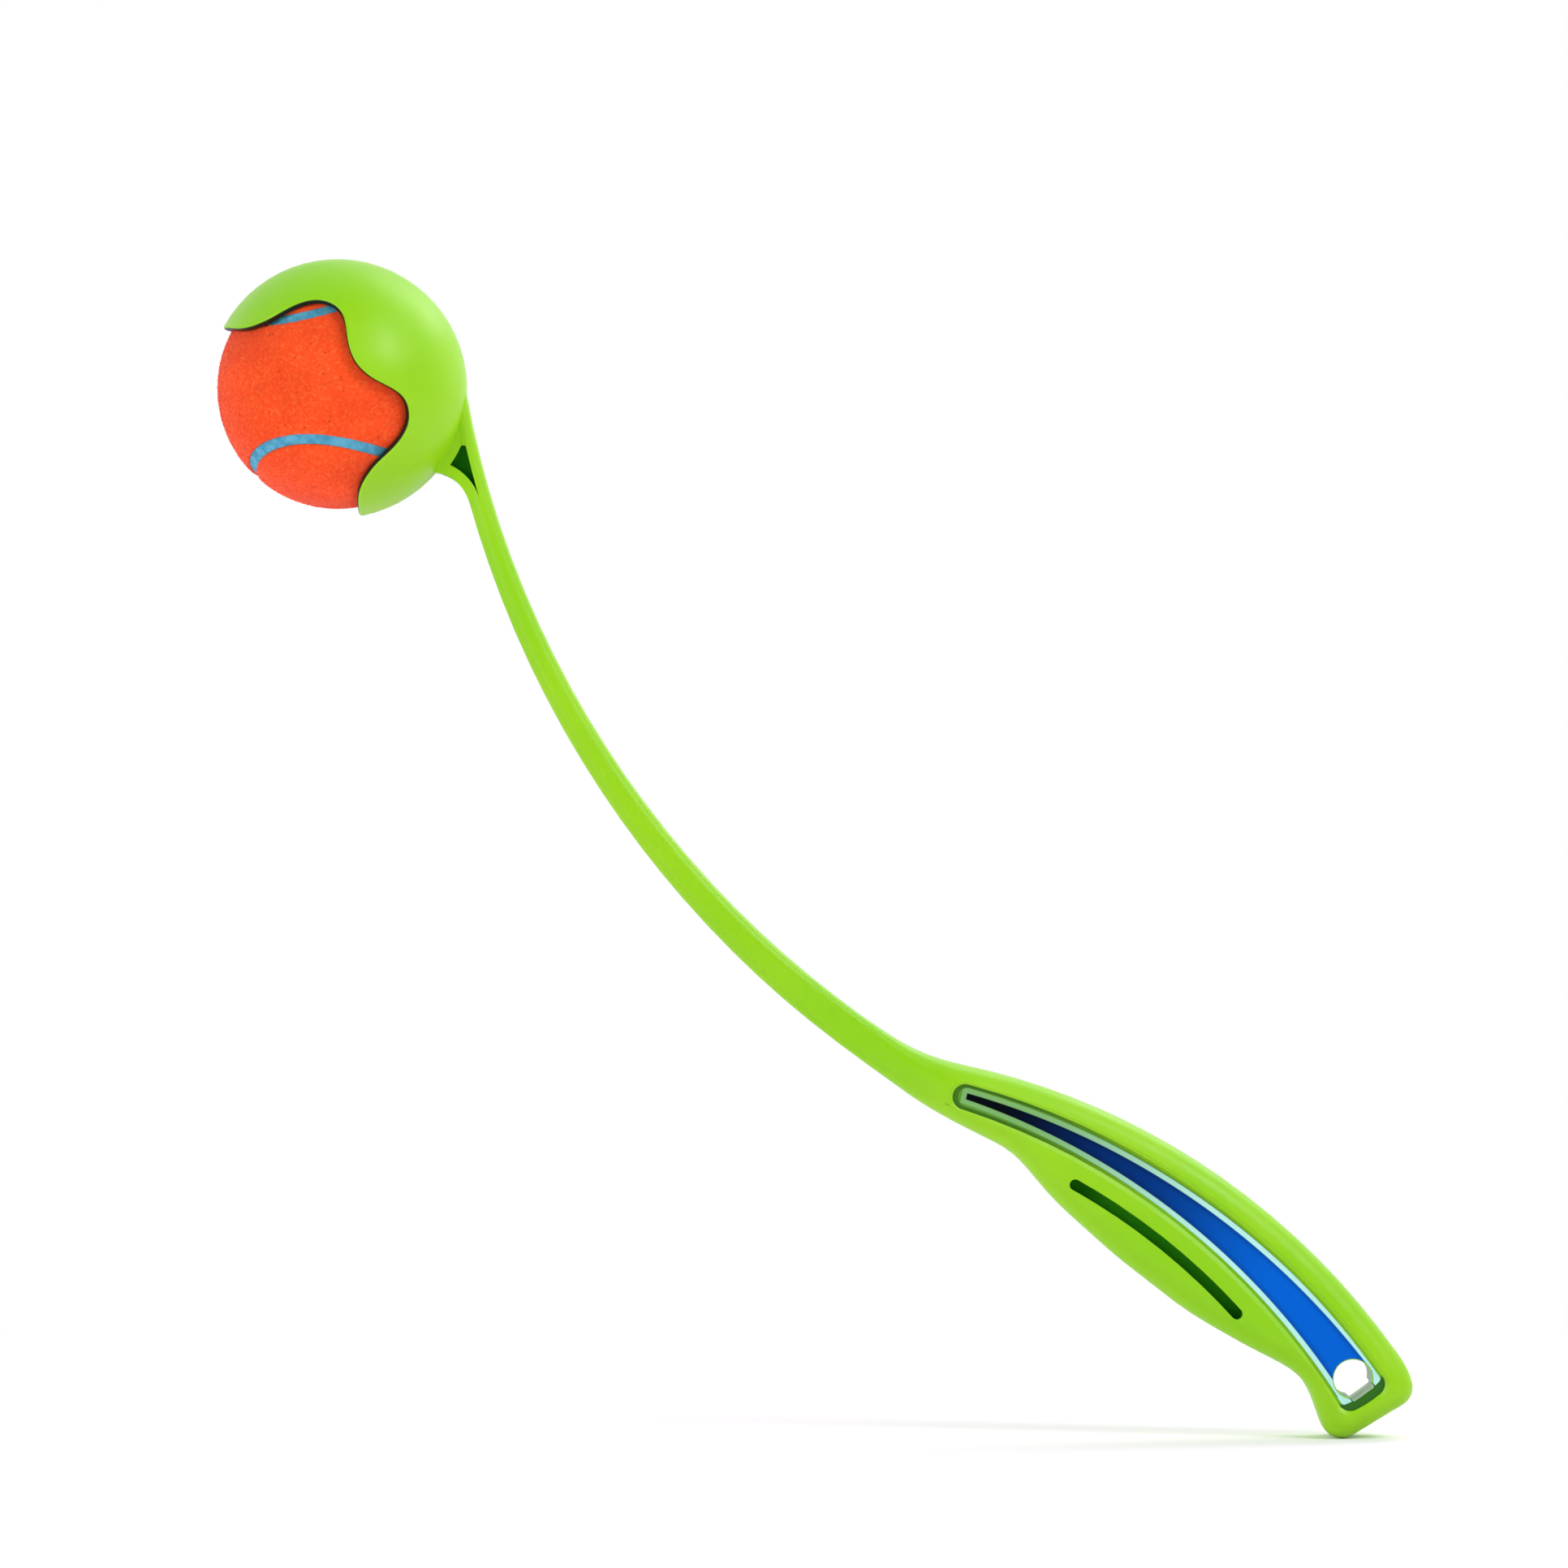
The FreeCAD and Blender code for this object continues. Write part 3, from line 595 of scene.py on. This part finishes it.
# %% [markdown]
# ## The ball
#
# Under the felt is a hollow rubber core, which never shows. Two dog-bone panels of felt cover it, cut
# from napped cloth, with a strip of blue rubber cement between them. The CAD panels are plain shells
# with sharp edges. Each is replaced by a copy that is welded, remeshed finely and smoothed, which rounds
# its edges as the cloth's edge is rounded where it meets the cement.

# %% Felt, seam and rubber
BALL_RADIUS = 33.0 * MM
FELT_ORANGE = colour(250, 82, 26)
FELT_LIGHT = colour(255, 114, 54)
FELT_FLECK = colour(190, 40, 16)


def felt_material():
    """Napped cloth: an even orange with lighter tufts and a few dark flecks."""
    material, tree, output = new_material("orange_felt")
    place = object_place(tree)
    tuft = noise(tree, place, 0.9 * MM, 4.0, 0.6)
    fleck = noise(tree, place, 1.6 * MM, 3.0, 0.7)
    cloud = noise(tree, place, 12 * MM, 2.0)
    base = mix_colours(tree, ramp(tree, tuft, 0.45, 0.75), FELT_ORANGE, FELT_LIGHT)
    base = mix_colours(tree, ramp(tree, fleck, 0.6, 0.72, 0.0, 0.75), base, FELT_FLECK)
    base = mix_colours(tree, ramp(tree, cloud, 0.65, 0.4, 0.0, 0.18), base, FELT_FLECK)
    bump = add(tree, "ShaderNodeBump", {"Strength": 0.3, "Distance": 0.2 * MM, "Height": tuft})
    inputs = {
        "Base Color": base,
        "Roughness": 0.9,
        "Sheen Weight": 0.12,
        "Sheen Roughness": 0.5,
        "Specular IOR Level": 0.15,
        "Normal": bump.outputs[0],
    }
    shader = add(tree, "ShaderNodeBsdfPrincipled", inputs)
    tree.links.new(shader.outputs[0], output.inputs[0])
    return material


def rubber_material(name, dark, light, size):
    """Matt rubber with a mottled skin."""
    material, tree, output = new_material(name)
    place = object_place(tree)
    mottle = noise(tree, place, size, 3.0, 0.5)
    base = mix_colours(tree, ramp(tree, mottle, 0.35, 0.65), dark, light)
    bump = add(tree, "ShaderNodeBump", {"Strength": 0.2, "Distance": 0.1 * MM, "Height": mottle})
    inputs = {"Base Color": base, "Roughness": 0.75, "Specular IOR Level": 0.3, "Normal": bump.outputs[0]}
    shader = add(tree, "ShaderNodeBsdfPrincipled", inputs)
    tree.links.new(shader.outputs[0], output.inputs[0])
    return material


orange_felt = felt_material()
dress("felt_seam", rubber_material("blue_seam", colour(62, 150, 182), colour(92, 178, 204), 2.5 * MM))
core_rubber = rubber_material("core_rubber", colour(30, 30, 32), colour(52, 50, 50), 1.5 * MM)
for half_name in ("ball_core_half_a", "ball_core_half_b"):
    dress(half_name, core_rubber)
print("finishes for the felt, the seam and the core")

# %% The two felt panels
WELD_DISTANCE = 0.001 * MM
VOXEL = 0.5 * MM
SMOOTHING_ROUNDS = 6


def evaluated_mesh(thing):
    """The mesh of an object with its modifiers applied."""
    graph = bpy.context.evaluated_depsgraph_get()
    return bpy.data.meshes.new_from_object(thing.evaluated_get(graph), depsgraph=graph)


def plain_object(name, mesh):
    """A new object with a mesh, both of one name."""
    mesh.name = name
    thing = bpy.data.objects.new(name, mesh)
    bpy.context.scene.collection.objects.link(thing)
    return thing


def felt_panel(name, node):
    """A copy of a CAD panel with rounded edges."""
    thing = plain_object(name + "_work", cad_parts[node].data.copy())
    weld = thing.modifiers.new("weld", "WELD")
    weld.merge_threshold = WELD_DISTANCE
    remesh = thing.modifiers.new("remesh", "REMESH")
    remesh.mode = "VOXEL"
    remesh.voxel_size = VOXEL
    smooth = thing.modifiers.new("smooth", "SMOOTH")
    smooth.iterations = SMOOTHING_ROUNDS
    panel = plain_object(name, evaluated_mesh(thing))
    bpy.data.objects.remove(thing)
    panel.data.materials.clear()
    panel.data.materials.append(orange_felt)
    panel.data.shade_smooth()
    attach(panel, "ball")
    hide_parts(node)
    print(name, len(panel.data.polygons), "faces")
    return panel


panels = [felt_panel("felt_cloth_" + side, "felt_panel_" + side) for side in "ab"]

# %% [markdown]
# ## The nap of the felt
#
# Felt is a mat of fibres, and short ends stand up from it all over. They could be drawn as a bump, but
# then the ball's outline stays hard. Geometry Nodes scatter tiny three-sided spikes over each panel
# instead, lean them over by a random amount, and turn the lot into a plain mesh. They are short enough
# to stay clear of the cup's wall.

# %% A tree that scatters fibres
FIBRE_LENGTH = 0.55 * MM
FIBRE_WIDTH = 0.07 * MM
FIBRE_SIDES = 3
FIBRES_PER_SQUARE_METRE = 4.2e6
SEED = 7

# The shortest fibre as a share of the longest, and the least and most lean in degrees
FIBRE_SHORTEST = 0.5
FIBRE_LEAN = (35, 75)

# Fibres grow where the felt is no deeper than this below the ball's surface
NAP_DEPTH = 0.6 * MM


def nap_tree():
    """Fibres on the outer side of a ball's panel.

    The inputs are the panel, the fibres' density and size, the seed, the middle of the ball, the radius
    outside which fibres grow, and the finish.
    """
    tree = bpy.data.node_groups.new("felt_nap", "GeometryNodeTree")
    interface = tree.interface
    interface.new_socket("Surface", in_out="INPUT", socket_type="NodeSocketGeometry")
    for name in ("Density", "Length", "Width"):
        interface.new_socket(name, in_out="INPUT", socket_type="NodeSocketFloat")
    interface.new_socket("Seed", in_out="INPUT", socket_type="NodeSocketInt")
    interface.new_socket("Middle", in_out="INPUT", socket_type="NodeSocketVector")
    interface.new_socket("Radius", in_out="INPUT", socket_type="NodeSocketFloat")
    interface.new_socket("Finish", in_out="INPUT", socket_type="NodeSocketMaterial")
    interface.new_socket("Fibres", in_out="OUTPUT", socket_type="NodeSocketGeometry")
    entry = tree.nodes.new("NodeGroupInput").outputs
    place = tree.nodes.new("GeometryNodeInputPosition").outputs[0]
    reach = add(tree, "ShaderNodeVectorMath", {0: place, 1: entry["Middle"]}, operation="DISTANCE")
    outside = compute(tree, "GREATER_THAN", reach.outputs["Value"], entry["Radius"])
    inputs = {
        "Mesh": entry["Surface"],
        "Selection": outside,
        "Density": entry["Density"],
        "Seed": entry["Seed"],
    }
    points = add(tree, "GeometryNodeDistributePointsOnFaces", inputs, distribute_method="RANDOM")
    inputs = {
        "Vertices": FIBRE_SIDES,
        "Radius Top": 0.0,
        "Radius Bottom": entry["Width"],
        "Depth": entry["Length"],
    }
    spike = add(tree, "GeometryNodeMeshCone", inputs, fill_type="NGON")
    least, most = (math.radians(angle) for angle in FIBRE_LEAN)
    inputs = {0: (least, 0, 0), 1: (most, 0, math.tau), "Seed": entry["Seed"]}
    lean = add(tree, "FunctionNodeRandomValue", inputs, data_type="FLOAT_VECTOR").outputs[0]
    lean = add(tree, "FunctionNodeEulerToRotation", {0: lean}).outputs[0]
    inputs = {0: points.outputs["Rotation"], 1: lean}
    turn = add(tree, "FunctionNodeRotateRotation", inputs, rotation_space="LOCAL").outputs[0]
    inputs = {2: FIBRE_SHORTEST, 3: 1.0, "Seed": entry["Seed"]}
    size = add(tree, "FunctionNodeRandomValue", inputs, data_type="FLOAT")
    inputs = {
        "Points": points.outputs["Points"],
        "Instance": spike.outputs["Mesh"],
        "Rotation": turn,
        "Scale": size.outputs[1],
    }
    fibres = add(tree, "GeometryNodeInstanceOnPoints", inputs)
    real = add(tree, "GeometryNodeRealizeInstances", {0: fibres.outputs[0]})
    inputs = {"Geometry": real.outputs[0], "Material": entry["Finish"]}
    finished = add(tree, "GeometryNodeSetMaterial", inputs)
    exit_node = tree.nodes.new("NodeGroupOutput")
    tree.links.new(finished.outputs[0], exit_node.inputs[0])
    return tree


nap = nap_tree()
print("nap tree with", len(nap.nodes), "nodes")


# %% Fibres on each panel
def fibres_on(panel, name, seed):
    """Add the fibres of one panel as a plain mesh."""
    thing = plain_object(name + "_work", panel.data.copy())
    modifier = thing.modifiers.new("nap", "NODES")
    modifier.node_group = nap
    values = {
        "Density": FIBRES_PER_SQUARE_METRE,
        "Length": FIBRE_LENGTH,
        "Width": FIBRE_WIDTH,
        "Seed": seed,
        "Middle": CUP_CENTRE,
        "Radius": BALL_RADIUS - NAP_DEPTH,
        "Finish": orange_felt,
    }
    for item in nap.interface.items_tree:
        if item.in_out == "INPUT" and item.name in values:
            modifier[item.identifier] = values[item.name]
    fibres = plain_object(name, evaluated_mesh(thing))
    bpy.data.objects.remove(thing)
    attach(fibres, "ball")
    print(name, len(fibres.data.polygons), "faces")


for number, panel in enumerate(panels):
    fibres_on(panel, "felt_nap_" + "ab"[number], SEED + number)
